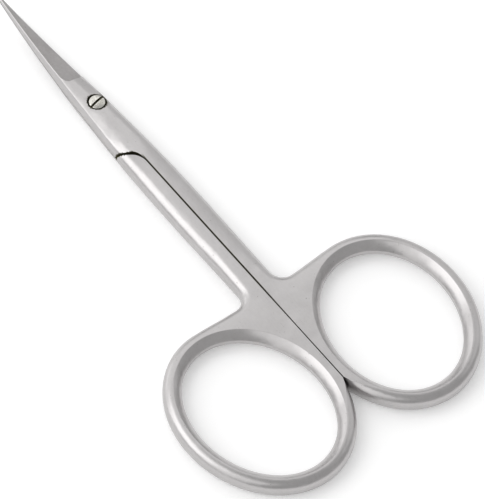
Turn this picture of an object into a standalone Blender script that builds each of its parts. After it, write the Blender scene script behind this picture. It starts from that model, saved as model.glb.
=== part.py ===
"""Nail scissors, closed and lying flat: two forged halves that cross at a slotted pivot screw.

Both halves come from one forging. The bottom half is turned over about the long axis, and its blade is
bent the other way, so that both blades curve up together. Each half is drawn in its own frame: the pivot
axis on the origin, the tip towards +Y, the finger ring towards +X and the middle plane at zero height.
"""

import math

import bmesh
import bpy

MM = 0.001

# Overall sizes
OVERALL_LENGTH = 92.2 * MM
THICKNESS = 3.2 * MM  # of the handles
BLADE_REACH = 23.6 * MM  # pivot to tip
TIP_RISE = 1.4 * MM  # the blades curve up from the plunge line on
PIVOT_OFFSET = 0.45 * MM  # of the screw from the centre line, towards the top half's ring

# Widths of the closed pair, from the tip to the waist in front of the rings
TIP_WIDTH = 0.46 * MM
TIP_ROUND = 0.3 * MM
TIP_END_SHARE = 0.3  # of the tip's width that is left at its very end
RICASSO_WIDTH = 3.86 * MM
PIVOT_WIDTH = 4.54 * MM
SHOULDER_WIDTH = 5.7 * MM
BELLY_WIDTH = 6.16 * MM
WAIST_WIDTH = 5.9 * MM
BELLY_SHARE = 0.4  # of the way from the shoulder to the waist

# Blade: a hollow-ground face between a drafted spine and a honed edge
RICASSO_REACH = 5.2 * MM  # pivot to the line where the hollow grind starts
PLUNGE_LENGTH = 0.35 * MM
PLUNGE_BOW = 0.9 * MM
PLUNGE_BOW_SHARE = 0.35  # of the blade's width, from the spine
SPINE_DRAFT_DEGREES = 15
TIP_SPINE_HEIGHT = 0.42 * MM
HOLLOW_DEPTH = 0.07 * MM
EDGE_LAND = 0.12 * MM
HONE_WIDTH = 0.2 * MM
HONE_WIDTH_SHARE = 0.15  # most of the blade's width that the honed facet takes
HONE_RISE = 0.2 * MM
RIDGE_ROUND = 0.12 * MM

# Lap and shank
RICASSO_SLOPE = 0.95 * MM  # from the spine's ridge down to the cutting edge side
RICASSO_SLOPE_POWER = 2
RICASSO_SLOPE_RUNOUT = 3 * MM  # behind the pivot
CROWN_DROP = 0.22 * MM
CROWN_POWER = 1.3  # between a roof, at 1, and an arch, at 2
CROWN_RUNOUT = 7 * MM
LAP_ROUND = 0.35 * MM  # at the plunge line, growing to the shank's rounding
LAP_ROUND_RUNOUT = 9 * MM
SIDE_ROUND = 1.35 * MM
SPINE_FADE_REACH = 5 * MM  # behind the pivot, where the flat spine starts to turn round
SHOULDER_RADIUS = 9.95 * MM  # about the pivot, halfway along the shoulder
SHOULDER_LEAN = 0.35 * MM  # nearer at the spine and farther at the corner, so it clears as it opens
NOTCH_LENGTH = 3.1 * MM
NOTCH_CORNER = 0.9 * MM  # from the centre line, where the notch turns back along the parting line

# Finger ring
HOLE_WIDTH = 19.3 * MM
HOLE_LENGTH = 24.0 * MM
RING_LEAN_DEGREES = 9
RING_BAND = 2.7 * MM
HOLE_BEVEL = 1.2 * MM
BEVEL_BULGE = 0.1 * MM
INNER_ARM = 2.3 * MM  # from the parting face to the finger hole
CROTCH_RADIUS = 2.1 * MM
CROTCH_DIP = 0.35 * MM  # how far the crotch lies behind the front of the ring

# Pivot screw
HEAD_DIAMETER = 2.5 * MM
HEAD_EDGE = 0.67 * MM
HEAD_DOME = 0.26 * MM
SLOT_WIDTH = 0.36 * MM
SLOT_DEPTH = 0.42 * MM
SLOT_TURN_DEGREES = 11
SHOULDER_DIAMETER = 1.7 * MM
THREAD_DIAMETER = 1.4 * MM
THREAD_CHAMFER = 0.12 * MM
METAL_UNDER_HEAD = 0.55 * MM

# Clearances
PARTING_GAP = 0.14 * MM
LAP_GAP = 0.1 * MM
NOTCH_GAP = 0.4 * MM
HEAD_GAP = 0.22 * MM
RUNNING_GAP = 0.06 * MM
SEAT_GAP = 0.05 * MM
SCREW_END_INSET = 0.08 * MM
OVERRUN = 3 * MM  # how far a cutter runs past what it cuts
MERGE = 0.001 * MM

# Counts
BLADE_STATIONS = 14
LAP_STATIONS = 9
NOTCH_STATIONS = 3
SHANK_STATIONS = 9
TOP_COLUMNS = 6
ROUND_STEPS = 5
RING_STEPS = 80
CROTCH_STEPS = 7
BRIDGE_STEPS = 4
BEVEL_STEPS = 3
ROUND_SIDES = 40
DOME_STEPS = 5
NOTCH_STEPS = 8

STEEL = (0.60, 0.59, 0.575, 1.0)
BRIGHT_STEEL = (0.72, 0.71, 0.69, 1.0)
STEEL_ROUGHNESS = 0.34
BRIGHT_ROUGHNESS = 0.16

# Sizes that follow from the ones above
HALF_THICKNESS = THICKNESS / 2
LEAN = math.radians(RING_LEAN_DEGREES)
HOLE_A = HOLE_WIDTH / 2
HOLE_B = HOLE_LENGTH / 2
HOLE_REACH_X = math.hypot(HOLE_A * math.cos(LEAN), HOLE_B * math.sin(LEAN))
HOLE_REACH_Y = math.hypot(HOLE_A * math.sin(LEAN), HOLE_B * math.cos(LEAN))
RING_X = PARTING_GAP / 2 + INNER_ARM + HOLE_REACH_X
FAR_END_Y = BLADE_REACH - OVERALL_LENGTH
RING_Y = FAR_END_Y + HOLE_REACH_Y + RING_BAND
RING_TOP_Y = RING_Y + HOLE_REACH_Y + RING_BAND
INNER_WALL_X = RING_X - HOLE_REACH_X - RING_BAND
CROTCH_Y = RING_TOP_Y - CROTCH_DIP
WAIST_Y = CROTCH_Y + CROTCH_RADIUS
NOTCH_END_Y = -(SHOULDER_RADIUS + NOTCH_LENGTH)
BELLY_Y = -SHOULDER_RADIUS + BELLY_SHARE * (WAIST_Y + SHOULDER_RADIUS)
SPINE_DRAFT = math.tan(math.radians(SPINE_DRAFT_DEGREES))

WIDTH_KNOTS = (
    (BLADE_REACH, TIP_WIDTH / 2),
    (RICASSO_REACH, RICASSO_WIDTH / 2),
    (0, PIVOT_WIDTH / 2),
    (-SHOULDER_RADIUS, SHOULDER_WIDTH / 2),
    (BELLY_Y, BELLY_WIDTH / 2),
    (WAIST_Y, WAIST_WIDTH / 2),
)

# The ring's outer rounding is full from the top of the ring round to the first angle, and has run out at
# the second, where the two rings touch. Angles are those of the outward normal.
ROUND_FULL_DEGREES = -148
ROUND_GONE_DEGREES = -176
LAND_FROM_DEGREES = 60
INNER_SIDE_DEGREES = -180
RING_TOP_DEGREES = 90
TURN_DEGREES = 360
SHARP_FROM_DEGREES = 30
DIAGONAL_SHARE = math.sqrt(1 / 2)


def mix(a, b, share):
    return a + (b - a) * share


def eased(share):
    share = min(1, max(0, share))
    return share * share * (3 - 2 * share)


def hump(share):
    """A parabola that is zero at both ends and one in the middle."""
    return 4 * share * (1 - share)


def through(knots, y):
    """A smooth curve through (place, value) knots whose places run downwards."""
    slopes = []
    for i in range(len(knots)):
        before = knots[max(0, i - 1)]
        after = knots[min(len(knots) - 1, i + 1)]
        slopes.append((after[1] - before[1]) / (after[0] - before[0]))
    i = 0
    while i < len(knots) - 2 and y < knots[i + 1][0]:
        i += 1
    (y0, v0), (y1, v1) = knots[i], knots[i + 1]
    span = y1 - y0
    s = (y - y0) / span
    return (
        (1 + 2 * s) * (1 - s) ** 2 * v0
        + s * (1 - s) ** 2 * span * slopes[i]
        + s * s * (3 - 2 * s) * v1
        + s * s * (s - 1) * span * slopes[i + 1]
    )


def half_width(y):
    into_tip = min(1, max(0, 1 - (BLADE_REACH - y) / TIP_ROUND))
    return through(WIDTH_KNOTS, y) * mix(TIP_END_SHARE, 1, math.sqrt(1 - into_tip**2))


def rise(y):
    """How far the blades have curved up at this distance in front of the pivot."""
    return TIP_RISE * max(0, (y - RICASSO_REACH) / (BLADE_REACH - RICASSO_REACH)) ** 2


def top_height(x, y):
    """The crowned outer face of lap and shank, sloped towards the cutting edge near the blade."""
    across = x / half_width(y)
    crown = CROWN_DROP * eased((y - WAIST_Y) / CROWN_RUNOUT) * abs(across) ** CROWN_POWER
    slope_here = eased((y + RICASSO_SLOPE_RUNOUT) / (RICASSO_REACH + RICASSO_SLOPE_RUNOUT))
    slope = RICASSO_SLOPE * slope_here * max(0, (1 + across) / 2) ** RICASSO_SLOPE_POWER
    return HALF_THICKNESS - crown - slope


def spine_side(y, spine_height, turn):
    """(x, z) from the middle plane up the drafted spine wall and over the rounding onto the face."""
    wall = spine_height - turn
    foot = -half_width(y)
    shelf = foot + SPINE_DRAFT * wall
    points = [(foot, 0)]
    for k in range(ROUND_STEPS):
        angle = math.pi / 2 * k / (ROUND_STEPS - 1)
        points.append((shelf + turn * (1 - math.cos(angle)), wall + turn * math.sin(angle)))
    return points


def side_rounding(radius):
    """(inset from the outline, height share) from the tangent on the face down to the side wall."""
    steps = []
    for k in range(ROUND_STEPS + 1):
        angle = math.pi / 2 * (1 - k / ROUND_STEPS)
        height = HALF_THICKNESS - radius * (1 - math.sin(angle))
        steps.append((radius * (1 - math.cos(angle)), height / HALF_THICKNESS))
    return steps


def between(first, last, count):
    return [mix(first, last, k / (count + 1)) for k in range(1, count + 1)]


def lap_section(y):
    """(x, z) points across lap or shank, from the spine's foot to the outer side's foot."""
    fade = eased((-SPINE_FADE_REACH - y) / (SHOULDER_RADIUS - SPINE_FADE_REACH))
    turn = mix(RIDGE_ROUND, SIDE_ROUND, fade)
    ridge_x = -half_width(y) + SPINE_DRAFT * HALF_THICKNESS
    left = spine_side(y, top_height(ridge_x, y), turn)
    # Behind the notch the forging ends at the parting line, so the left side becomes a plain wall there.
    wall_share = eased((NOTCH_END_Y - y) / NOTCH_LENGTH)
    wall = [(INNER_WALL_X, HALF_THICKNESS * k / ROUND_STEPS) for k in range(ROUND_STEPS + 1)]
    left = [
        (mix(a[0], b[0], wall_share), mix(a[1], b[1], wall_share)) for a, b in zip(left, wall)
    ]
    radius = mix(LAP_ROUND, SIDE_ROUND, eased((RICASSO_REACH - y) / LAP_ROUND_RUNOUT))
    side = half_width(y)
    right = [
        (side - inset, share * top_height(side - inset, y)) for inset, share in side_rounding(radius)
    ]
    middle = [(x, top_height(x, y)) for x in between(left[-1][0], right[0][0], TOP_COLUMNS)]
    return left + middle + right + [(side, 0)]


def blade_section(y, share):
    """(x, z) points across the blade at a share of the way from the plunge line to the tip."""
    ridge_x = -half_width(RICASSO_REACH) + SPINE_DRAFT * HALF_THICKNESS
    spine_height = mix(top_height(ridge_x, RICASSO_REACH), TIP_SPINE_HEIGHT, share)
    left = spine_side(y, spine_height, RIDGE_ROUND)
    edge = half_width(y)
    hone = min(HONE_WIDTH, HONE_WIDTH_SHARE * (edge + half_width(y)))
    behind = EDGE_LAND + HONE_RISE
    right = [
        (edge - hone * (1 - k / ROUND_STEPS), mix(behind, EDGE_LAND, k / ROUND_STEPS))
        for k in range(ROUND_STEPS + 1)
    ]
    middle = []
    for k, x in enumerate(between(left[-1][0], right[0][0], TOP_COLUMNS), 1):
        v = k / (TOP_COLUMNS + 1)
        hollow = HOLLOW_DEPTH * (1 - share) * hump(v)
        middle.append((x, mix(spine_height, behind, v) - hollow))
    return left + middle + right + [(edge, 0)]


def plunge_bow(column):
    """How far forward the plunge line lies at a column, curving towards the tip beside the spine."""
    v = (column - ROUND_STEPS) / (TOP_COLUMNS + 1)
    return PLUNGE_BOW * max(0, 1 - max(0, v) / PLUNGE_BOW_SHARE) ** 2


def spread(first, last, count):
    return [mix(first, last, k / count) for k in range(count + 1)]


def loft_rows():
    """Rows of (x, y, z) points, from the tip back to the waist, each with the same number of columns."""
    columns = range(2 * (ROUND_STEPS + 1) + TOP_COLUMNS + 1)
    rows = []
    for k in range(BLADE_STATIONS, -1, -1):
        share = math.sin(math.pi / 2 * k / BLADE_STATIONS)  # closer together towards the tip
        row = []
        for c in columns:
            y = mix(RICASSO_REACH + PLUNGE_LENGTH + plunge_bow(c), BLADE_REACH, share)
            x, z = blade_section(y, share)[c]
            row.append((x, y, z))
        rows.append(row)
    for station in spread(RICASSO_REACH, -SHOULDER_RADIUS, LAP_STATIONS):
        bow_share = max(0, station / RICASSO_REACH)
        row = []
        for c in columns:
            y = station + plunge_bow(c) * bow_share
            x, z = lap_section(y)[c]
            row.append((x, y, z))
        rows.append(row)
    places = spread(-SHOULDER_RADIUS, NOTCH_END_Y, NOTCH_STATIONS)[1:]
    places += spread(NOTCH_END_Y, NOTCH_END_Y - NOTCH_LENGTH, NOTCH_STATIONS)[1:]
    places += spread(NOTCH_END_Y - NOTCH_LENGTH, WAIST_Y, SHANK_STATIONS)[1:]
    for y in places:
        rows.append([(x, y, z) for x, z in lap_section(y)])
    return rows


def ring_point(degrees, outset):
    """The point outset from the finger hole's edge whose outward normal has this angle."""
    angle = math.radians(degrees)
    local = angle + LEAN
    reach = math.hypot(HOLE_A * math.cos(local), HOLE_B * math.sin(local))
    a = HOLE_A**2 * math.cos(local) / reach
    b = HOLE_B**2 * math.sin(local) / reach
    x = a * math.cos(-LEAN) - b * math.sin(-LEAN)
    y = a * math.sin(-LEAN) + b * math.cos(-LEAN)
    return RING_X + x + outset * math.cos(angle), RING_Y + y + outset * math.sin(angle)


def outline_rows():
    """Rows of (x, y, z) over the rounding down to the foot: crotch, bridge, then round the ring."""
    steps = side_rounding(SIDE_ROUND)
    waist = half_width(WAIST_Y)
    bridge_x = waist + CROTCH_RADIUS
    rows = []
    for share in spread(0, 1, CROTCH_STEPS)[1:]:
        angle = math.pi * (1 + share / 2)
        row = []
        for inset, height in steps:
            reach = CROTCH_RADIUS + inset
            x = bridge_x + reach * math.cos(angle)
            row.append((x, WAIST_Y + reach * math.sin(angle), height * HALF_THICKNESS))
        rows.append(row)
    for share in spread(0, 1, BRIDGE_STEPS)[1:-1]:
        x = mix(bridge_x, ring_point(RING_TOP_DEGREES, 0)[0], share)
        y = mix(CROTCH_Y, RING_TOP_Y, eased(share))
        rows.append([(x, y - inset, height * HALF_THICKNESS) for inset, height in steps])
    fading = ROUND_FULL_DEGREES - ROUND_GONE_DEGREES
    for degrees in ring_angles(RING_TOP_DEGREES, INNER_SIDE_DEGREES):
        gone = eased((ROUND_FULL_DEGREES - degrees) / fading)
        row = []
        for k, (inset, height) in enumerate(steps):
            plain = 1 - k / (ROUND_STEPS + 1)
            x, y = ring_point(degrees, RING_BAND - inset * (1 - gone))
            row.append((x, y, mix(height, plain, gone) * HALF_THICKNESS))
        rows.append(row)
    return [row + [row[-1][:2] + (0,)] for row in rows]


def ring_angles(first, last):
    step = TURN_DEGREES / RING_STEPS
    return [first - step * k for k in range(round((first - last) / step) + 1)]


def bevel_rows():
    """Rows of (x, y, z) round the whole finger hole, from the ridge down the bevel to the middle plane."""
    crest = HALF_THICKNESS - HOLE_BEVEL
    rows = []
    for degrees in ring_angles(RING_TOP_DEGREES, RING_TOP_DEGREES - TURN_DEGREES)[:-1]:
        row = []
        for share in spread(0, 1, BEVEL_STEPS):
            bulge = BEVEL_BULGE * hump(share) * DIAGONAL_SHARE
            x, y = ring_point(degrees, mix(HOLE_BEVEL, 0, share) - bulge)
            row.append((x, y, mix(HALF_THICKNESS, crest, share) + bulge))
        row.append(row[-1][:2] + (0,))
        rows.append(row)
    return rows


def skin(bm, rows, closed=False):
    """Quads between neighbouring rows of vertices."""
    pairs = list(zip(rows, rows[1:]))
    if closed:
        pairs.append((rows[-1], rows[0]))
    for first, second in pairs:
        for k in range(len(first) - 1):
            bm.faces.new((first[k], first[k + 1], second[k + 1], second[k]))


def blank_mesh(side):
    """The forging, with its blade curved up for the top half (side 1) and down for the bottom half (-1)."""
    bm = bmesh.new()
    loft = [[bm.verts.new(p) for p in row] for row in loft_rows()]
    skin(bm, loft)
    bm.faces.new(list(reversed(loft[0])))

    face_end = ROUND_STEPS + TOP_COLUMNS + 1  # the column where the face meets the outer rounding
    outline = [[bm.verts.new(p) for p in row] for row in outline_rows()]
    skin(bm, [loft[-1][face_end:]] + outline)

    bevel = [[bm.verts.new(p) for p in row] for row in bevel_rows()]
    skin(bm, bevel, closed=True)
    # The flat face of the web runs from the waist to the ridge of the finger hole, and on as a narrow land.
    ring_start = len(outline) - len(ring_angles(RING_TOP_DEGREES, INNER_SIDE_DEGREES))
    land_from = len(ring_angles(RING_TOP_DEGREES, LAND_FROM_DEGREES)) - 1
    land_to = len(ring_angles(RING_TOP_DEGREES, ROUND_FULL_DEGREES)) - 1
    for k in range(land_from, land_to):
        outer, inner = outline[ring_start + k], bevel[k]
        outer_next, inner_next = outline[ring_start + k + 1], bevel[k + 1]
        bm.faces.new((inner[0], outer[0], outer_next[0], inner_next[0]))
    web = loft[-1][ROUND_STEPS : face_end + 1]
    web += [row[0] for row in outline[: ring_start + land_from + 1]]
    web += [bevel[k][0] for k in range(land_from, -1, -1)]
    web += [bevel[k][0] for k in range(RING_STEPS - 1, land_to - 1, -1)]
    web += [row[0] for row in outline[ring_start + land_to :]]
    bm.faces.new(web)
    bm.faces.new(loft[-1][: ROUND_STEPS + 1] + outline[-1])

    # So far this is the upper skin, open along the middle plane. Its mirror image closes it.
    half = list(bm.verts) + list(bm.edges) + list(bm.faces)
    lower = bmesh.ops.duplicate(bm, geom=half)["geom"]
    for item in lower:
        if isinstance(item, bmesh.types.BMVert):
            item.co.z = -item.co.z
    bmesh.ops.remove_doubles(bm, verts=bm.verts, dist=MERGE)
    for vert in bm.verts:
        vert.co.x += centre_x(side)
    return finished_mesh(bm, "forging_blank", side)


def finished_mesh(bm, name, side=0):
    """The mesh of one closed body. With a side given, it curves with that side's blade."""
    for vert in bm.verts:
        vert.co.z += side * rise(vert.co.y)
    bmesh.ops.recalc_face_normals(bm, faces=bm.faces)
    mesh = bpy.data.meshes.new(name)
    bm.to_mesh(mesh)
    bm.free()
    return mesh


def centre_x(side):
    """Where the closed scissors' centre line runs in the frame of the top half (1) or bottom half (-1)."""
    return -side * PIVOT_OFFSET


def notch_line(gap_sign, side):
    """Plan points of the notch, from outside the spine round the pivot and back to the parting line."""
    radius = SHOULDER_RADIUS - gap_sign * NOTCH_GAP / 2
    outside = math.asin((half_width(-SHOULDER_RADIUS) + OVERRUN) / radius)
    corner = math.asin((NOTCH_CORNER - gap_sign * NOTCH_GAP / 2 - centre_x(side)) / radius)
    spine = math.asin(half_width(-SHOULDER_RADIUS) / radius)
    points = []
    for angle in spread(outside, corner, NOTCH_STEPS):
        reach = radius + mix(-SHOULDER_LEAN, SHOULDER_LEAN, (spine - angle) / (spine - corner))
        points.append((-reach * math.sin(angle), -reach * math.cos(angle)))
    x0, y0 = points[-1]
    before_x, before_y = points[-2]
    x2, y2 = centre_x(side) + gap_sign * PARTING_GAP / 2, NOTCH_END_Y
    x1, y1 = x2, y0 + (x2 - x0) * (y0 - before_y) / (x0 - before_x)
    for s in spread(0, 1, NOTCH_STEPS)[1:]:
        x = (1 - s) ** 2 * x0 + 2 * s * (1 - s) * x1 + s * s * x2
        y = (1 - s) ** 2 * y0 + 2 * s * (1 - s) * y1 + s * s * y2
        points.append((x, y))
    return points


def prism(name, outline, low, high, side=0):
    """A closed cutter with this plan outline between two heights, bent with the blade of one side."""
    bm = bmesh.new()
    face = bm.faces.new([bm.verts.new((x, y, low)) for x, y in outline])
    face.normal_update()
    if face.normal.z > 0:
        face.normal_flip()
    raised = bmesh.ops.extrude_face_region(bm, geom=[face])["geom"]
    tops = [item for item in raised if isinstance(item, bmesh.types.BMVert)]
    bmesh.ops.translate(bm, verts=tops, vec=(0, 0, high - low))
    if side:
        for y in spread(RICASSO_REACH, BLADE_REACH, BLADE_STATIONS):
            whole = list(bm.verts) + list(bm.edges) + list(bm.faces)
            bmesh.ops.bisect_plane(bm, geom=whole, plane_co=(0, y, 0), plane_no=(0, 1, 0))
    return finished_mesh(bm, name, side)


def circle(radius):
    angles = [2 * math.pi * k / ROUND_SIDES for k in range(ROUND_SIDES)]
    return [(radius * math.cos(a), radius * math.sin(a)) for a in angles]


def turned(name, profile):
    """A solid of revolution about +Z from (radius, height) points that run from the top to the bottom."""
    bm = bmesh.new()
    loops = []
    for radius, height in profile:
        if radius == 0:
            loops.append([bm.verts.new((0, 0, height))])
        else:
            loops.append([bm.verts.new((x, y, height)) for x, y in circle(radius)])
    for upper, lower in zip(loops, loops[1:]):
        for k in range(ROUND_SIDES):
            after = (k + 1) % ROUND_SIDES
            corners = [upper[k % len(upper)], lower[k % len(lower)]]
            corners += [lower[after % len(lower)], upper[after % len(upper)]]
            bm.faces.new(list(dict.fromkeys(corners)))
    return finished_mesh(bm, name)


def place(name, mesh, parent):
    item = bpy.data.objects.new(name, mesh)
    bpy.context.scene.collection.objects.link(item)
    item.parent = parent
    return item


def cut(item, name, mesh):
    """Takes a cutter out of an item. The cutter follows the item and is never rendered."""
    cutter = place(name, mesh, item)
    cutter.hide_render = True
    cutter.display_type = "WIRE"
    modifier = item.modifiers.new(name, "BOOLEAN")
    modifier.operation = "DIFFERENCE"
    modifier.solver = "EXACT"
    modifier.object = cutter


def finish(item, name, colour, roughness):
    material = bpy.data.materials.new(name)
    material.use_nodes = True
    shader = material.node_tree.nodes["Principled BSDF"]
    shader.inputs["Base Color"].default_value = colour
    shader.inputs["Metallic"].default_value = 1.0
    shader.inputs["Roughness"].default_value = roughness
    item.data.materials.append(material)
    item.data.shade_smooth()
    item.data.set_sharp_from_angle(angle=math.radians(SHARP_FROM_DEGREES))


def parting_outline(side):
    """Everything left of the parting face and behind the lap, which belongs to the other half."""
    line = notch_line(1, side)
    far = FAR_END_Y - OVERRUN
    return line + [(line[-1][0], far), (line[0][0], far)]


def lap_outline(side):
    """Everything in front of this half's shoulder, where the other half's lap and blade lie."""
    shoulder = [(-x, y) for x, y in notch_line(-1, -side)]
    right = shoulder[0][0]
    ahead = BLADE_REACH + OVERRUN
    return shoulder + [(-right, NOTCH_END_Y), (-right, ahead), (right, ahead)]


def scissor_half(name, side, parent):
    """A half of the scissors: its blank less everything that belongs to the other half."""
    item = place(name, blank_mesh(side), parent)
    tall = HALF_THICKNESS + OVERRUN
    cut(item, name + "_parting_cutter", prism("parting", parting_outline(side), -tall, tall))
    cut(item, name + "_lap_cutter", prism("lap", lap_outline(side), -tall, LAP_GAP / 2, side))
    finish(item, name + "_satin_steel", STEEL, STEEL_ROUGHNESS)
    return item


def screw_profile():
    """(radius, height) from the top of the dome down to the end of the thread."""
    seat = LAP_GAP / 2 + METAL_UNDER_HEAD + SEAT_GAP
    edge = seat + HEAD_EDGE
    head = HEAD_DIAMETER / 2
    profile = []
    for k in range(DOME_STEPS + 1):
        angle = math.pi / 2 * k / DOME_STEPS
        profile.append((head * math.sin(angle), edge + HEAD_DOME * math.cos(angle)))
    profile[0] = (0, edge + HEAD_DOME)
    shoulder_end = -LAP_GAP / 2 + SEAT_GAP
    end = SCREW_END_INSET - top_height(PIVOT_OFFSET, 0)
    thread = THREAD_DIAMETER / 2
    profile += [(head, seat), (SHOULDER_DIAMETER / 2, seat), (SHOULDER_DIAMETER / 2, shoulder_end)]
    profile += [(thread, shoulder_end), (thread, end + THREAD_CHAMFER)]
    profile += [(thread - THREAD_CHAMFER, end), (0, end)]
    return profile


def slot_outline():
    turn = math.radians(SLOT_TURN_DEGREES)
    length = HEAD_DIAMETER
    corners = ((-length, -SLOT_WIDTH / 2), (length, -SLOT_WIDTH / 2))
    corners += ((length, SLOT_WIDTH / 2), (-length, SLOT_WIDTH / 2))
    return [
        (x * math.cos(turn) - y * math.sin(turn), x * math.sin(turn) + y * math.cos(turn))
        for x, y in corners
    ]


def main():
    for item in list(bpy.data.objects):
        bpy.data.objects.remove(item)

    # The closed scissors lie on the ground with the middle of their box above the origin.
    pivot = bpy.data.objects.new("pivot_axis", None)
    bpy.context.scene.collection.objects.link(pivot)
    pivot.location = (PIVOT_OFFSET, -(BLADE_REACH + FAR_END_Y) / 2, HALF_THICKNESS)

    top = scissor_half("top_half", 1, pivot)
    bottom = scissor_half("bottom_half", -1, pivot)
    bottom.rotation_euler = (0, math.pi, 0)

    tall = HALF_THICKNESS + OVERRUN
    seat = LAP_GAP / 2 + METAL_UNDER_HEAD
    recess = circle(HEAD_DIAMETER / 2 + HEAD_GAP)
    cut(top, "head_recess_cutter", prism("head_recess", recess, seat, tall))
    clear = circle(SHOULDER_DIAMETER / 2 + RUNNING_GAP)
    cut(top, "clearance_hole_cutter", prism("clearance_hole", clear, -tall, seat + SEAT_GAP))
    tapped = circle(THREAD_DIAMETER / 2 + RUNNING_GAP)
    cut(bottom, "tapped_hole_cutter", prism("tapped_hole", tapped, -tall, tall))

    screw = place("pivot_screw", turned("pivot_screw", screw_profile()), pivot)
    slot_floor = LAP_GAP / 2 + METAL_UNDER_HEAD + SEAT_GAP + HEAD_EDGE + HEAD_DOME - SLOT_DEPTH
    cut(screw, "slot_cutter", prism("slot", slot_outline(), slot_floor, tall))
    finish(screw, "polished_steel", BRIGHT_STEEL, BRIGHT_ROUGHNESS)


main()
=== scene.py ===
# %% [markdown]
# # Nail scissors
# Two forged halves of stainless steel cross at one slotted screw. The CAD model already has their real
# shape, so this lesson dresses them: it welds and eases the steel, turns the screw again with a domed and
# slotted head, and gives every surface the finish that the workshop left on it. The scissors lie closed on
# a white table, as in the photograph.

import math

import bpy
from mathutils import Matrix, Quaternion, Vector


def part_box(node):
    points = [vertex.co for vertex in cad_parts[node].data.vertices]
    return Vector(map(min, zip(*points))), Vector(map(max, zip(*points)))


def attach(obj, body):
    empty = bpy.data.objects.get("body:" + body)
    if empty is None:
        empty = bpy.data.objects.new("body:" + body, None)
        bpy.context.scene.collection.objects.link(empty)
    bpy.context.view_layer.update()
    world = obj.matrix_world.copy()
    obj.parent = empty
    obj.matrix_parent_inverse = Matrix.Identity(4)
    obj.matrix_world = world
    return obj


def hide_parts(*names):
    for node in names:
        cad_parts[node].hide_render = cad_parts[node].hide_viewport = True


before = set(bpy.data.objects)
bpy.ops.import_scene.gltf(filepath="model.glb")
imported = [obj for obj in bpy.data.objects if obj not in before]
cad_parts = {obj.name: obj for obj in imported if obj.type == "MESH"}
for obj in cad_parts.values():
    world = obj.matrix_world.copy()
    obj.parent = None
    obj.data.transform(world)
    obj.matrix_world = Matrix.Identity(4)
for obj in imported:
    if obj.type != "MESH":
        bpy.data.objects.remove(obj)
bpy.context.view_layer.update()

MM = 0.001

# %% [markdown]
# ## Camera
# The photograph was taken from the left of the handles, looking down at about 58 degrees, from far enough
# away that the near ring is hardly larger than the far one. A camera can be placed by eye, but a
# perspective that is a little off shows at once on long straight shanks. So the camera stands on a line
# from the point it looks at, given by an azimuth and an elevation, and is rolled about its own axis at the
# end.

# %% Camera
LOOK_AT = Vector((2.40, -9.41, 1.6)) * MM
CAMERA_AZIMUTH = math.radians(-44.286)
CAMERA_ELEVATION = math.radians(57.834)
CAMERA_ROLL = math.radians(6.794)
CAMERA_DISTANCE = 605.8 * MM
LENS = 304.04  # millimetres, for the 36 mm side of the sensor that lies along the picture's height
NEAREST_SEEN = 10 * MM

level_part = math.cos(CAMERA_ELEVATION)
backwards = Vector((
    math.sin(CAMERA_AZIMUTH) * level_part,
    -math.cos(CAMERA_AZIMUTH) * level_part,
    math.sin(CAMERA_ELEVATION),
))
bpy.ops.object.camera_add(location=LOOK_AT + backwards * CAMERA_DISTANCE)
camera = bpy.context.active_object
camera.name = "table_camera"
camera.rotation_mode = "QUATERNION"
camera.rotation_quaternion = (-backwards).to_track_quat("-Z", "Y") @ Quaternion((0, 0, 1), CAMERA_ROLL)
camera.data.lens = LENS
camera.data.clip_start = NEAREST_SEEN
bpy.context.scene.camera = camera
bpy.context.scene.view_settings.view_transform = "Standard"
print("camera at", [round(c, 4) for c in camera.location])

# %% [markdown]
# ## Light
# Bare steel shows its surroundings more than it shows the lamps, so the light is built as what the steel
# should mirror. A large soft lamp stands to the left of the blades, and its brighter middle draws the white
# line along the near shank. Weaker ones beyond the blades and to the right serve the flat faces, and a low
# one the insides of the rings. An even room leaves the sides that face the camera darker. One small lamp
# would light the scissors as well, but its highlight would be hard and narrow.

# %% Soft lamps and the room
ROOM_STRENGTH = 0.52


def towards(compass, height):
    """A direction from the scissors, with the compass counted from +X towards +Y, both in degrees."""
    level = math.cos(math.radians(height))
    around = math.radians(compass)
    return Vector((level * math.cos(around), level * math.sin(around), math.sin(math.radians(height))))


def soft_lamp(name, compass, height, distance, across, tall, radiance):
    """A rectangular lamp that faces the scissors, as bright to look at as white times its radiance."""
    place = towards(compass, height) * distance
    bpy.ops.object.light_add(type="AREA", location=place)
    lamp = bpy.context.active_object
    lamp.name = name
    lamp.rotation_mode = "QUATERNION"
    lamp.rotation_quaternion = (-place).to_track_quat("-Z", "Y")
    lamp.data.shape = "RECTANGLE"
    lamp.data.size = across
    lamp.data.size_y = tall
    lamp.data.energy = radiance * math.pi * across * tall
    print(name, "gives", round(lamp.data.energy, 2), "W")


soft_lamp("window_lamp", compass=168, height=42, distance=1.0, across=1.65, tall=1.2, radiance=0.68)
soft_lamp("window_middle_lamp", compass=152, height=38, distance=0.95, across=0.70, tall=0.7, radiance=0.95)
soft_lamp("far_wall_lamp", compass=86, height=44, distance=1.0, across=1.15, tall=1.2, radiance=0.63)
soft_lamp("right_wall_lamp", compass=12, height=32, distance=1.0, across=1.1, tall=0.9, radiance=0.36)
soft_lamp("far_low_lamp", compass=112, height=10, distance=1.1, across=1.1, tall=0.38, radiance=0.80)

room = bpy.data.worlds.new("even_room")
bpy.context.scene.world = room
room.use_nodes = True
walls = room.node_tree.nodes["Background"]
walls.inputs["Color"].default_value = (1, 1, 1, 1)
walls.inputs["Strength"].default_value = ROOM_STRENGTH

# %% [markdown]
# ## Building with nodes
# Every material here is a small net of nodes. They could be added and wired one by one, but then the wiring
# hides what is meant. These helpers add a node of one kind, or a sum whose inputs are sockets or numbers.

# %% Helpers for materials
def new_material(name):
    material = bpy.data.materials.new(name)
    material.use_nodes = True
    return material, material.node_tree, material.node_tree.nodes["Principled BSDF"]


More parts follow.
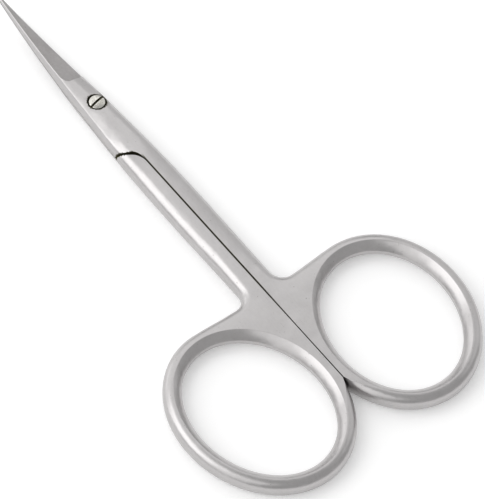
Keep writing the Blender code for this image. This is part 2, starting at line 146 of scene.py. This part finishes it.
def node(tree, kind, **settings):
    made = tree.nodes.new("ShaderNode" + kind)
    for name, value in settings.items():
        setattr(made, name, value)
    return made


def maths(tree, operation, *values):
    """The result of a Math node whose inputs are sockets or numbers."""
    made = node(tree, "Math", operation=operation)
    for socket, value in zip(made.inputs, values):
        if isinstance(value, (int, float)):
            socket.default_value = value
        else:
            tree.links.new(value, socket)
    return made.outputs[0]


# %% [markdown]
# ## Table
# The table is a white sheet that runs past the picture on all sides. Painted white alone, it would come out
# light grey, because no surface sends back all of its light. More light would burn out the steel. So the
# sheet adds a little white of its own to what the camera, and the steel as a mirror, see of it. The rest of
# its white is lit by the lamps and keeps the soft shadow under the rings. It lies a hair below the steel,
# because two faces in one plane would flicker.

# %% White table
TABLE_SIDE = 8  # metres
TABLE_DROP = 0.01 * MM  # below the steel
TABLE_WHITE = 0.93
TABLE_ROUGHNESS = 0.7
TABLE_MIRROR = 0.1
TABLE_OWN_LIGHT = 0.2  # added where the table is looked at, so that it comes out white

bpy.ops.mesh.primitive_plane_add(size=TABLE_SIDE, location=(0, 0, -TABLE_DROP))
table = bpy.context.active_object
table.name = "white_table"
table_paint, tree, paint = new_material("white_table")
paint.inputs["Base Color"].default_value = (TABLE_WHITE, TABLE_WHITE, TABLE_WHITE, 1)
paint.inputs["Roughness"].default_value = TABLE_ROUGHNESS
paint.inputs["Specular IOR Level"].default_value = TABLE_MIRROR
seen = node(tree, "LightPath")
looked_at = seen.outputs["Is Camera Ray"]
for ray in ("Is Glossy Ray", "Is Transmission Ray"):
    looked_at = maths(tree, "MAXIMUM", looked_at, seen.outputs[ray])
glow = node(tree, "Emission")
tree.links.new(maths(tree, "MULTIPLY", looked_at, TABLE_OWN_LIGHT), glow.inputs["Strength"])
both = node(tree, "AddShader")
tree.links.new(paint.outputs["BSDF"], both.inputs[0])
tree.links.new(glow.outputs["Emission"], both.inputs[1])
tree.links.new(both.outputs["Shader"], tree.nodes["Material Output"].inputs["Surface"])
table.data.materials.append(table_paint)
print("table", [round(side, 2) for side in table.dimensions], "m")

# %% [markdown]
# ## The two halves
# On the real scissors each half is one forging. The shape could be modelled again from a cube, but it would
# have to meet the CAD to a few hundredths of a millimetre at the lap. It is quicker and truer to copy the
# CAD solid and weld its loose triangles into one surface.

# %% Helpers for working by hand
def select_only(*items):
    bpy.ops.object.select_all(action="DESELECT")
    for item in items:
        item.select_set(True)
    bpy.context.view_layer.objects.active = items[0]


def apply_modifier(piece, kind, **settings):
    select_only(piece)
    modifier = piece.modifiers.new(kind.title(), kind)
    for name, value in settings.items():
        setattr(modifier, name, value)
    bpy.ops.object.modifier_apply(modifier=modifier.name)


# %% Copy and weld the forgings
WELD = 0.0005 * MM
FLAT_WITHIN = math.radians(0.1)
CLOSE_POINTS = 0.03 * MM  # points nearer each other than the eased edge is wide would fold there


def welded_copy(cad_node, name):
    """A new piece with the CAD node's shape, as one surface in place of loose triangles."""
    piece = bpy.data.objects.new(name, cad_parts[cad_node].data.copy())
    bpy.context.scene.collection.objects.link(piece)
    piece.data.materials.clear()
    select_only(piece)
    bpy.ops.mesh.customdata_custom_splitnormals_clear()
    bpy.ops.object.mode_set(mode="EDIT")
    bpy.ops.mesh.select_all(action="SELECT")
    loose = len(piece.data.vertices)
    bpy.ops.mesh.remove_doubles(threshold=WELD)
    bpy.ops.mesh.dissolve_limited(angle_limit=FLAT_WITHIN)
    bpy.ops.mesh.select_all(action="SELECT")
    bpy.ops.mesh.remove_doubles(threshold=CLOSE_POINTS)
    bpy.ops.object.mode_set(mode="OBJECT")
    points, faces = len(piece.data.vertices), len(piece.data.polygons)
    print(name, "welded from", loose, "to", points, "points,", faces, "faces")
    return piece


top_half = welded_copy("top_half", "top_half_steel")
bottom_half = welded_copy("bottom_half", "bottom_half_steel")

# %% [markdown]
# ## Eased edges
# After grinding, the halves are tumbled with grit, so no edge behind the blades is quite sharp, and each
# one carries a thin line of light. A Bevel modifier would ease the cutting edge as well, and it would push
# a thorn out of the thin tip. So the sharp edges behind the blades are selected by angle and by place, and
# only those are bevelled. Weighted normals then keep the large flats flat to the eye.

# %% Ease the ground edges, then smooth the round faces
SHARP_FROM = math.radians(32)
BLADES_FROM = 27 * MM
EASE = 0.03 * MM
CORNER_WELD = 0.012 * MM  # joins the slivers that three eased edges leave where they meet
FACE_WEIGHT = 100  # the largest face at a point decides its normal


def select_sharp_edges(piece, behind):
    """The sharp edges that lie wholly behind this y, in edit mode; the blade keeps its keen edges."""
    select_only(piece)
    bpy.ops.object.mode_set(mode="EDIT")
    bpy.ops.mesh.select_mode(type="EDGE")
    bpy.ops.mesh.select_all(action="DESELECT")
    bpy.ops.mesh.edges_select_sharp(sharpness=SHARP_FROM)
    bpy.ops.object.mode_set(mode="OBJECT")
    points = piece.data.vertices
    for edge in piece.data.edges:
        edge.select = edge.select and max(points[k].co.y for k in edge.vertices) < behind
    for point in points:
        point.select = False
    for face in piece.data.polygons:
        face.select = False
    bpy.ops.object.mode_set(mode="EDIT")


for half in (top_half, bottom_half):
    select_sharp_edges(half, behind=BLADES_FROM)
    bpy.ops.mesh.bevel(offset=EASE, segments=2, affect="EDGES", clamp_overlap=False)
    bpy.ops.mesh.remove_doubles(threshold=CORNER_WELD)
    bpy.ops.object.mode_set(mode="OBJECT")
    print(half.name, "eased by", round(EASE / MM, 3), "mm:", len(half.data.polygons), "faces")
    select_only(half)
    bpy.ops.object.shade_smooth_by_angle(angle=SHARP_FROM)
    apply_modifier(half, "WEIGHTED_NORMAL", keep_sharp=True, weight=FACE_WEIGHT)

# %% [markdown]
# ## Ground steel
# The forgings are belt-polished along the shanks and then tumbled, which leaves fine lines that run with
# the steel, a slightly cloudy tone and a few pits. One plain grey metal would look like plastic, and a
# picture wrapped round the shape would smear at its edges. So the finish is grown from noise that is
# stretched along the tool's path, and one recipe, read for tone, roughness and height alike, serves every
# zone.

# %% Noise, ranges, mixes and bumps
def even(size):
    """The same size along X, Y and Z."""
    return (size, size, size)


def grain(tree, place, sizes, detail):
    """Noise whose grains have these sizes in metres along X, Y and Z."""
    stretch = node(tree, "Mapping", vector_type="POINT")
    stretch.inputs["Scale"].default_value = [1 / size for size in sizes]
    tree.links.new(place, stretch.inputs["Vector"])
    noise = node(tree, "TexNoise")
    noise.inputs["Scale"].default_value = 1.0
    noise.inputs["Detail"].default_value = detail
    tree.links.new(stretch.outputs["Vector"], noise.inputs["Vector"])
    return noise.outputs["Fac"]


def ranged(tree, value, before, after, smooth=False):
    """The value moved from one range, before, to another, after, and held at its ends."""
    made = node(tree, "MapRange", interpolation_type="SMOOTHSTEP" if smooth else "LINEAR")
    for name, number in zip(("From Min", "From Max", "To Min", "To Max"), (*before, *after)):
        made.inputs[name].default_value = number
    tree.links.new(value, made.inputs["Value"])
    return made.outputs["Result"]


def mixed(tree, base, other, amount):
    """A colour between two, each a socket or three numbers; amount 0 gives the base and 1 the other."""
    made = node(tree, "Mix", data_type="RGBA")
    for name, colour in (("A", base), ("B", other)):
        if isinstance(colour, tuple):
            made.inputs[name].default_value = (*colour, 1)
        else:
            tree.links.new(colour, made.inputs[name])
    tree.links.new(amount, made.inputs["Factor"])
    return made.outputs["Result"]


def bump(tree, height, distance, before=None):
    """A normal tilted by this height, on top of an earlier bump if there is one."""
    made = node(tree, "Bump")
    made.inputs["Strength"].default_value = 1.0
    made.inputs["Distance"].default_value = distance
    tree.links.new(height, made.inputs["Height"])
    if before is not None:
        tree.links.new(before, made.inputs["Normal"])
    return made.outputs["Normal"]


# %% [markdown]
# ## Crowned flats
# A belt gives way under the hand, so the flats of the shanks and the lap come out a little crowned, and the
# white line on them is soft and broad. The crown could be modelled, but it is only a tenth of a millimetre
# high and the lap has to stay true. So it is drawn as one broad bump: a parabola beside a crest line, which
# levels out at the edges and fades before the rings.

# %% Height of the crown
CROWN = 35.0  # one over metres: the flat falls by this times the square of the distance from its crest
LAP_CROWN = 14.0  # added on the lap, which is ground rounder
LAP_BEGINS = (8 * MM, 14 * MM)
CROWN_FADES = (-21 * MM, -8 * MM)
CREST_REACH = 4.5 * MM  # the crown goes on falling up to here
CREST_ROUNDING = 4 * MM


def crown_height(tree, x, y, shank_crest, lap_crest):
    """Height of the crowned flat; its crest runs beside the centre line and shifts where the lap begins."""
    crest = ranged(tree, y, LAP_BEGINS, (shank_crest, lap_crest), smooth=True)
    beside = maths(tree, "ABSOLUTE", maths(tree, "SUBTRACT", x, crest))
    beside = maths(tree, "SMOOTH_MIN", beside, CREST_REACH, CREST_ROUNDING)
    amount = ranged(tree, y, CROWN_FADES, (0, -CROWN), smooth=True)
    on_lap = ranged(tree, y, LAP_BEGINS, (0, -LAP_CROWN), smooth=True)
    square = maths(tree, "MULTIPLY", beside, beside)
    return maths(tree, "MULTIPLY", square, maths(tree, "ADD", amount, on_lap))


# %% [markdown]
# ## Painted shade and paste in the joint
# Shade falls into the shoulder crack, along the first stretch of the parting line and round the screw
# head, where polishing paste also dries. Both are painted on the steel as one olive darkening with a
# ragged rim, which makes the crack look torn, although the steel below it is cut clean. Ragged geometry
# would have to fit between the two halves. A mask on the steel says where this painted shade lies: near a
# curve round the pivot, with noise added to the distance.

# %% Where the painted shade and paste lie, in metres
PIVOT = (Vector(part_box("pivot_screw")[0]) + Vector(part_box("pivot_screw")[1])) / 2
MID_HEIGHT = 1.6 * MM
NOISE_MIDDLE = (0.35, 0.65)  # most of a noise lies in this range
RAGGED_GRAIN = 0.22 * MM
RAGGED_BY = 0.14 * MM
TOP_FLAT = (1.5 * MM, 1.6 * MM)  # the painted shade begins at this height, so the underside stays clean

CRACK_REACH = 10.584 * MM  # from the pivot to the middle of the crack, where it would cross the centre line
CRACK_LEAN = 0.412  # how much nearer the pivot the crack comes for each step towards the spine
CRACK_EDGE = (0.24 * MM, 0.32 * MM)
CRACK_SIDE = (-0.45 * MM, -0.85 * MM)
BEHIND_PIVOT = (-7 * MM, -8 * MM)

LINE_EDGE = (0.11 * MM, 0.18 * MM)
LINE_ENDS = ((-24 * MM, -16 * MM), (PIVOT.y - 11.0 * MM, PIVOT.y - 11.8 * MM))
LINE_STRENGTH = 0.85

HEAD_RECESS = 1.47 * MM
HEAD_EDGE_FADE = (0.0, 0.1 * MM)
HEAD_STRENGTH = 0.75


# %% The mask of painted shade and paste
def paste_and_shade_mask(tree, place, x, y, z):
    """Painted shade and paste: one in the crack, on the line and round the head, with a ragged rim."""
    off_x = maths(tree, "SUBTRACT", x, PIVOT.x)
    off_y = maths(tree, "SUBTRACT", y, PIVOT.y)
    squares = maths(tree, "MULTIPLY_ADD", off_x, off_x, maths(tree, "MULTIPLY", off_y, off_y))
    reach = maths(tree, "SQRT", squares)
    ragged = grain(tree, place, even(RAGGED_GRAIN), detail=3.0)
    rim = ranged(tree, ragged, NOISE_MIDDLE, (-RAGGED_BY, RAGGED_BY))
    on_top = ranged(tree, z, TOP_FLAT, (0, 1))

    crack = maths(tree, "MULTIPLY_ADD", x, CRACK_LEAN, CRACK_REACH)
    beside = maths(tree, "ABSOLUTE", maths(tree, "SUBTRACT", reach, crack))
    at_crack = ranged(tree, maths(tree, "ADD", beside, rim), CRACK_EDGE, (1, 0), smooth=True)
    left = ranged(tree, x, CRACK_SIDE, (0, 1), smooth=True)
    behind = ranged(tree, off_y, BEHIND_PIVOT, (0, 1))
    for limit in (left, behind, on_top):
        at_crack = maths(tree, "MULTIPLY", at_crack, limit)

    at_line = ranged(tree, maths(tree, "ABSOLUTE", x), LINE_EDGE, (1, 0), smooth=True)
    for end in LINE_ENDS:
        at_line = maths(tree, "MULTIPLY", at_line, ranged(tree, y, end, (0, 1)))
    at_line = maths(tree, "MULTIPLY", maths(tree, "MULTIPLY", at_line, on_top), LINE_STRENGTH)

    past_recess = maths(tree, "ADD", maths(tree, "SUBTRACT", reach, HEAD_RECESS), rim)
    at_head = ranged(tree, past_recess, HEAD_EDGE_FADE, (HEAD_STRENGTH, 0), smooth=True)
    at_head = maths(tree, "MULTIPLY", at_head, on_top)
    return maths(tree, "MAXIMUM", maths(tree, "MAXIMUM", at_crack, at_line), at_head)


# %% [markdown]
# ## One recipe for all ground zones
# Each wheel leaves lines of its own length and depth, clouds where the steel was held longer, and mottling
# from the grit. The hand that holds the forging also rocks, which leaves broad waves and a fainter chatter
# on the shanks. A material for each zone could be wired by hand, but then a change has to be made six
# times. One function with the zone's tones, roughness and lines keeps them related.

# %% Sizes of the marks
CLOUDS = (2.2 * MM, 3.5 * MM, 2.2 * MM)
MOTTLING = (0.35 * MM, 0.5 * MM, 0.35 * MM)
LINE_SHARE, CLOUD_SHARE, MOTTLE_SHARE = 0.35, 0.35, 0.3
NOISE_NEARLY_ALL = (0.3, 0.7)  # and nearly all of it in this one

PIT_GRAIN = 0.28 * MM
PIT_FROM = (0.76, 0.80)  # only the highest noise is a pit
PIT_DEPTH = 0.01 * MM
PIT_COLOUR = (0.09, 0.08, 0.07)
PIT_DARKNESS = 0.6

# painted shade with a paste tone, for the crack, the parting line and the gap round the head
PASTE_AND_SHADE_COLOUR = (0.055, 0.05, 0.016)
PASTE_AND_SHADE_ROUGHNESS = 0.75

WAVES = (1.8 * MM, 2.6 * MM, 1.8 * MM)
WAVE_HEIGHT = 0.07 * MM  # the hand rocks at the belt, which leaves broad and shallow waves
CHATTER = (0.45 * MM, 0.6 * MM, 0.45 * MM)
CHATTER_HEIGHT = 0.006 * MM


# %% The recipe
def steel_zone(name, tones, roughness, lines, line_height, crests=None):
    """Bare steel. The lines are grain sizes along X, Y and Z; tones and roughness run from low to high. The
    crests, of the shank and the lap, are given for the outer faces, which also get waves and painted shade
    with a paste tone."""
    material, tree, steel = new_material(name)
    steel.inputs["Metallic"].default_value = 1.0
    place = node(tree, "TexCoord").outputs["Object"]
    fine = grain(tree, place, lines, detail=3.0)
    cloudy = grain(tree, place, CLOUDS, detail=2.0)
    mottled = grain(tree, place, MOTTLING, detail=4.0)
    pits = ranged(tree, grain(tree, place, even(PIT_GRAIN), detail=1.0), PIT_FROM, (0.0, 1.0), smooth=True)
    blend = maths(tree, "MULTIPLY", fine, LINE_SHARE)
    blend = maths(tree, "MULTIPLY_ADD", cloudy, CLOUD_SHARE, blend)
    blend = maths(tree, "MULTIPLY_ADD", mottled, MOTTLE_SHARE, blend)
    colour = mixed(tree, *tones, ranged(tree, blend, NOISE_MIDDLE, (0.0, 1.0)))
    colour = mixed(tree, colour, PIT_COLOUR, maths(tree, "MULTIPLY", pits, PIT_DARKNESS))
    rough = ranged(tree, blend, NOISE_NEARLY_ALL, roughness)
    normal = None
    if crests is not None:
        parts = node(tree, "SeparateXYZ")
        tree.links.new(place, parts.inputs[0])
        x, y, z = parts.outputs
        # painted shade, with the olive tone of paste, darkens the crack, the parting line and the gap round
        # the head
        paste_and_shade = paste_and_shade_mask(tree, place, x, y, z)
        colour = mixed(tree, colour, PASTE_AND_SHADE_COLOUR, paste_and_shade)
        rough = maths(tree, "MAXIMUM", rough, maths(tree, "MULTIPLY", paste_and_shade, PASTE_AND_SHADE_ROUGHNESS))
        normal = bump(tree, crown_height(tree, x, y, *crests), 1.0)
        normal = bump(tree, grain(tree, place, WAVES, detail=1.0), WAVE_HEIGHT, normal)
        normal = bump(tree, grain(tree, place, CHATTER, detail=2.0), CHATTER_HEIGHT, normal)
    normal = bump(tree, fine, line_height, normal)
    normal = bump(tree, pits, -PIT_DEPTH, normal)
    tree.links.new(colour, steel.inputs["Base Color"])
    tree.links.new(rough, steel.inputs["Roughness"])
    tree.links.new(normal, steel.inputs["Normal"])
    print(name, "lines of", [round(side / MM, 3) for side in lines], "mm")
    return material


# %% [markdown]
# ## The finishes
# The shanks, rings and laps are satin outside. The outer face of each blade is hollow ground, with lines
# that run across it, and is darker and duller. Its inner side and the inside of the lap are flattened on a
# fine stone. The walls along the parting line keep the grey of the mill, painted darker still as shade in
# the gap between the halves. One satin could serve both halves, but each was held at the belt by hand, so
# its crest lies elsewhere and each half has its own.

# %% Mix the finishes
SATIN = {
    "tones": ((0.475, 0.462, 0.460), (0.540, 0.526, 0.525)),
    "roughness": (0.26, 0.36),
    "lines": (0.05 * MM, 1.6 * MM, 0.05 * MM),
    "line_height": 0.0003 * MM,
}
top_satin = steel_zone("top_half_satin", **SATIN, crests=(-0.2 * MM, 1.2 * MM))
bottom_satin = steel_zone("bottom_half_satin", **SATIN, crests=(0.8 * MM, -1.0 * MM))
hollow_steel = steel_zone(
    "hollow_ground_steel",
    tones=((0.36, 0.346, 0.343), (0.47, 0.455, 0.452)),
    roughness=(0.34, 0.44),
    lines=(0.9 * MM, 0.05 * MM, 0.4 * MM),
    line_height=0.0012 * MM,
)
lapped_steel = steel_zone(
    "lapped_steel",
    tones=((0.38, 0.37, 0.36), (0.50, 0.49, 0.48)),
    roughness=(0.24, 0.34),
    lines=(0.6 * MM, 0.04 * MM, 0.4 * MM),
    line_height=0.0006 * MM,
)
# mill grey, painted darker as shade in the gap along the parting line
parting_shade_steel = steel_zone(
    "parting_face_grey_and_shade",
    tones=((0.20, 0.19, 0.175), (0.32, 0.31, 0.295)),
    roughness=(0.40, 0.55),
    lines=(0.08 * MM, 0.5 * MM, 0.08 * MM),
    line_height=0.002 * MM,
)
# painted shade with a paste tone, for the bore, the recess round the head, the crack's shoulder walls and
# the screw's slot and gap
dark_steel = steel_zone(
    "joint_paste_and_shade",
    tones=((0.06, 0.056, 0.032), (0.15, 0.14, 0.09)),
    roughness=(0.5, 0.75),
    lines=even(0.08 * MM),
    line_height=0.004 * MM,
)

# %% [markdown]
# ## Which face gets which finish
# Each zone of the real tool was made by a different wheel, so the finish changes exactly at the ground
# edges. Painting a mask would blur those edges. The faces are sorted by where they lie and which way they
# look.

# %% Sort the faces of the halves
OUTSIDE, HOLLOW, LAPPED, DARK, PARTING = range(5)
PLUNGE = PIVOT.y + 5.0 * MM  # the hollow grinding begins here
NOTCH = (PIVOT.y - 12.6 * MM, PIVOT.y - 8.6 * MM)
NOTCH_SIDE = 2.9 * MM
BORE_REACH = 1.6 * MM  # the recess and the bore lie within this of the pivot
RECESS_BELOW = MID_HEIGHT + 1.3 * MM
LAP_WITHIN = 0.2 * MM
LINE_WITHIN = 0.3 * MM


def face_zone(centre, normal, side):
    """Number of the finish for one face; side is 1 for the top half and -1 for the one turned over.
    Normals are compared by cosines: 1 looks straight along the axis and 0 square to it."""
    out_x, out_z = normal.x * side, normal.z * side
    from_pivot = math.hypot(centre.x - PIVOT.x, centre.y - PIVOT.y)
    # the bore, the recess floor and, below, the shoulder walls in the crack get painted shade
    recess_floor = side > 0 and normal.z > 0.5 and centre.z < RECESS_BELOW
    if from_pivot < BORE_REACH and (abs(normal.z) < 0.5 or recess_floor):
        return DARK
    if out_z < -0.99 and abs(centre.z - MID_HEIGHT) < LAP_WITHIN:
        return LAPPED
    near_shoulder = NOTCH[0] < centre.y < NOTCH[1] and abs(centre.x) < NOTCH_SIDE
    if near_shoulder and abs(normal.z) < 0.2 and abs(normal.y) > 0.2:
        return DARK
    if centre.y > PLUNGE and out_z > 0.3 and out_x > 0.1:
        return HOLLOW
    if centre.y > PLUNGE and out_z < -0.5:
        return LAPPED
    if abs(normal.x) > 0.98 and abs(centre.x) < LINE_WITHIN:
        return PARTING
    return OUTSIDE


for half, satin, side in ((top_half, top_satin, 1), (bottom_half, bottom_satin, -1)):
    for finish in (satin, hollow_steel, lapped_steel, dark_steel, parting_shade_steel):
        half.data.materials.append(finish)
    for face in half.data.polygons:
        face.material_index = face_zone(face.center, face.normal, side)
    counts = [sum(face.material_index == zone for face in half.data.polygons) for zone in range(5)]
    print(half.name, "faces: outside, hollow, lapped, dark, parting", counts)

# %% [markdown]
# ## Pivot screw
# The real screw is turned from bar. A cylinder would have the right size but no dome. So it is made as on
# the lathe, from a disc: raised to the head's edge, inset ring by ring into the dome, and stepped down
# below into the shoulder that the top half turns on and the thinner shank that holds in the bottom half.

# %% Sizes of the screw
HEAD_RADIUS = 1.25 * MM
HEAD_SEAT = MID_HEIGHT + 0.65 * MM
HEAD_EDGE = 0.67 * MM
HEAD_DOME = 0.26 * MM
HEAD_SIDES = 72
DOME_RINGS = 7
SHOULDER_RADIUS = 0.85 * MM
SHOULDER_END = MID_HEIGHT
THREAD_RADIUS = 0.7 * MM
END_CHAMFER = 0.12 * MM
SCREW_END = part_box("pivot_screw")[0][2]
print("screw from", round(SCREW_END / MM, 2), "mm up, through", round(HEAD_SEAT / MM, 2), "mm at its seat")


# %% Turn the head
def dome_angle(ring):
    """How far down the dome a ring lies, as an angle from the screw's axis; ring 0 is the head's edge."""
    return math.radians(90 * (1 - ring / DOME_RINGS))


def extrude_by(height):
    bpy.ops.mesh.extrude_region_move(TRANSFORM_OT_translate={"value": (0, 0, height)})


bpy.ops.object.select_all(action="DESELECT")
bpy.ops.mesh.primitive_circle_add(
    vertices=HEAD_SIDES,
    radius=HEAD_RADIUS,
    fill_type="NGON",
    location=(PIVOT.x, PIVOT.y, HEAD_SEAT),
)
screw = bpy.context.active_object
screw.name = "pivot_screw_steel"
bpy.ops.object.transform_apply(location=True)
bpy.ops.object.mode_set(mode="EDIT")
bpy.ops.mesh.select_mode(type="FACE")
bpy.ops.mesh.select_all(action="SELECT")
extrude_by(HEAD_EDGE)
for ring in range(DOME_RINGS - 1):
    outer, inner = dome_angle(ring), dome_angle(ring + 1)
    bpy.ops.mesh.inset(
        thickness=HEAD_RADIUS * (math.sin(outer) - math.sin(inner)),
        depth=HEAD_DOME * (math.cos(inner) - math.cos(outer)),
    )
bpy.ops.mesh.poke(offset=HEAD_DOME * (1 - math.cos(dome_angle(DOME_RINGS - 1))))
bpy.ops.object.mode_set(mode="OBJECT")
print("head turned:", len(screw.data.polygons), "faces")


# %% Turn the shoulder and the shank
def select_lowest_face(piece):
    """The one flat face that looks down from the lowest place, ready for the next step."""
    select_only(piece)
    for part in (piece.data.vertices, piece.data.edges, piece.data.polygons):
        part.foreach_set("select", [False] * len(part))
    facing_down = [face for face in piece.data.polygons if face.normal.z < -0.9]
    min(facing_down, key=lambda face: face.center.z).select = True
    bpy.ops.object.mode_set(mode="EDIT")


select_lowest_face(screw)
bpy.ops.mesh.inset(thickness=HEAD_RADIUS - SHOULDER_RADIUS)
extrude_by(SHOULDER_END - HEAD_SEAT)
bpy.ops.mesh.inset(thickness=SHOULDER_RADIUS - THREAD_RADIUS)
extrude_by(SCREW_END + END_CHAMFER - SHOULDER_END)
bpy.ops.mesh.inset(thickness=END_CHAMFER, depth=END_CHAMFER)
bpy.ops.mesh.select_all(action="SELECT")
bpy.ops.mesh.normals_make_consistent(inside=False)
bpy.ops.object.mode_set(mode="OBJECT")
screw_size = [round(side / MM, 2) for side in screw.dimensions]
print("screw turned:", len(screw.data.polygons), "faces,", screw_size, "mm")

# %% [markdown]
# ## The slot
# The slot is milled straight across the head after turning. The screw is then driven until the halves run
# freely, so the slot ends up at a chance angle. Pushing faces down by hand would pull the rings of the dome
# out of round. A Boolean with a block is what the mill does, and a small bevel breaks the rims as a brush
# would.

# %% Mill the slot and ease the rims
SLOT_WIDTH = 0.36 * MM
SLOT_DEPTH = 0.42 * MM
SLOT_TURN = math.radians(11)
CUTTER_LENGTH = 4 * MM
CUTTER_HEIGHT = 2 * MM
RIM_EASE = 0.025 * MM
RIM_FROM = math.radians(35)

head_top = HEAD_SEAT + HEAD_EDGE + HEAD_DOME
cutter_place = (PIVOT.x, PIVOT.y, head_top - SLOT_DEPTH + CUTTER_HEIGHT / 2)
bpy.ops.mesh.primitive_cube_add(size=1, location=cutter_place, rotation=(0, 0, SLOT_TURN))
slot_cutter = bpy.context.active_object
slot_cutter.scale = (CUTTER_LENGTH, SLOT_WIDTH, CUTTER_HEIGHT)
bpy.ops.object.transform_apply(location=True, rotation=True, scale=True)
apply_modifier(screw, "BOOLEAN", object=slot_cutter, operation="DIFFERENCE", solver="EXACT")
bpy.data.objects.remove(slot_cutter)
apply_modifier(screw, "BEVEL", width=RIM_EASE, segments=2, limit_method="ANGLE", angle_limit=RIM_FROM)
select_only(screw)
bpy.ops.object.shade_smooth_by_angle(angle=SHARP_FROM)
print("screw head top at", round(max(v.co.z for v in screw.data.vertices) / MM, 3), "mm")

# %% [markdown]
# ## Turned steel
# The screw is brighter and a little yellower than the halves, and a lathe tool leaves rings round its axis.
# A straight grain would look like a piece of the shank. So the noise is read by the distance from the axis.
# The last tenth of a millimetre before the head's edge is painted dark, as the shade of the gap round it,
# and the slot and the gap are painted as shade too.

# %% Mix the screw's finish
TURNING_RINGS = (0.05 * MM, 1.0, 1.0)  # only the distance from the axis counts
HANDLING_MARKS = 0.25 * MM
TURNED_TONES = ((0.50, 0.485, 0.44), (0.74, 0.725, 0.68))
TURNED_ROUGHNESS = (0.3, 0.16)
MARKS_MIDDLE = (0.35, 0.6)
RIM_SHADE_COLOUR = (0.04, 0.036, 0.025)
RIM_DARKENS = (1.15 * MM, 1.21 * MM)
RING_HEIGHT = 0.002 * MM
MARK_HEIGHT = 0.012 * MM


def turned_steel(name):
    """Bright steel with the rings that a lathe tool leaves round the screw's axis."""
    material, tree, steel = new_material(name)
    steel.inputs["Metallic"].default_value = 1.0
    place = node(tree, "TexCoord").outputs["Object"]
    centred = node(tree, "Mapping", vector_type="POINT")
    centred.inputs["Location"].default_value = (-PIVOT.x, -PIVOT.y, 0)
    tree.links.new(place, centred.inputs["Vector"])
    flat_place = node(tree, "VectorMath", operation="MULTIPLY")
    flat_place.inputs[1].default_value = (1, 1, 0)
    tree.links.new(centred.outputs["Vector"], flat_place.inputs[0])
    reach = node(tree, "VectorMath", operation="LENGTH")
    tree.links.new(flat_place.outputs["Vector"], reach.inputs[0])
    ring_place = node(tree, "CombineXYZ")
    tree.links.new(reach.outputs["Value"], ring_place.inputs["X"])
    rings = grain(tree, ring_place.outputs["Vector"], TURNING_RINGS, detail=2.0)
    marks = grain(tree, place, even(HANDLING_MARKS), detail=4.0)
    colour = mixed(tree, *TURNED_TONES, ranged(tree, marks, MARKS_MIDDLE, (0.0, 1.0)))
    # painted shade at the head's edge, for the gap round it
    at_rim = ranged(tree, reach.outputs["Value"], RIM_DARKENS, (0, 1), smooth=True)
    tree.links.new(mixed(tree, colour, RIM_SHADE_COLOUR, at_rim), steel.inputs["Base Color"])
    tree.links.new(ranged(tree, marks, NOISE_NEARLY_ALL, TURNED_ROUGHNESS), steel.inputs["Roughness"])
    tree.links.new(bump(tree, marks, MARK_HEIGHT, bump(tree, rings, RING_HEIGHT)), steel.inputs["Normal"])
    return material


# %% Sort the faces of the screw
SLOT_MARGIN = 0.005 * MM
FLOOR_MARGIN = 0.01 * MM
GAP_TOP = HEAD_SEAT + HEAD_EDGE * 0.9  # the head's side wall gets painted shade up to here

screw.data.materials.append(turned_steel("turned_screw_steel"))
screw.data.materials.append(dark_steel)
across_slot = Vector((-math.sin(SLOT_TURN), math.cos(SLOT_TURN), 0))
# the slot and the gap under the head's rim get painted shade with a paste tone
for face in screw.data.polygons:
    off_middle = abs((face.center - PIVOT).dot(across_slot))
    above_floor = face.center.z > head_top - SLOT_DEPTH - FLOOR_MARGIN
    in_slot = off_middle < SLOT_WIDTH / 2 + SLOT_MARGIN and above_floor
    in_gap = HEAD_SEAT < face.center.z < GAP_TOP
    face.material_index = 1 if in_slot or in_gap else 0
print("dark faces in the slot and under the rim:", sum(face.material_index for face in screw.data.polygons))

# %% [markdown]
# ## Bodies
# The top half turns on the screw's shoulder, and the screw holds in the bottom half's thread, so those two
# move as one. Parenting would do for a picture. Here each piece stands for its CAD node and rides on that
# node's body, so that it follows the joint.

# %% Put each piece on its body
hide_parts("top_half")
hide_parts("bottom_half")
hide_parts("pivot_screw")
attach(top_half, "upper_half")
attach(bottom_half, "lower_half")
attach(screw, "lower_half")
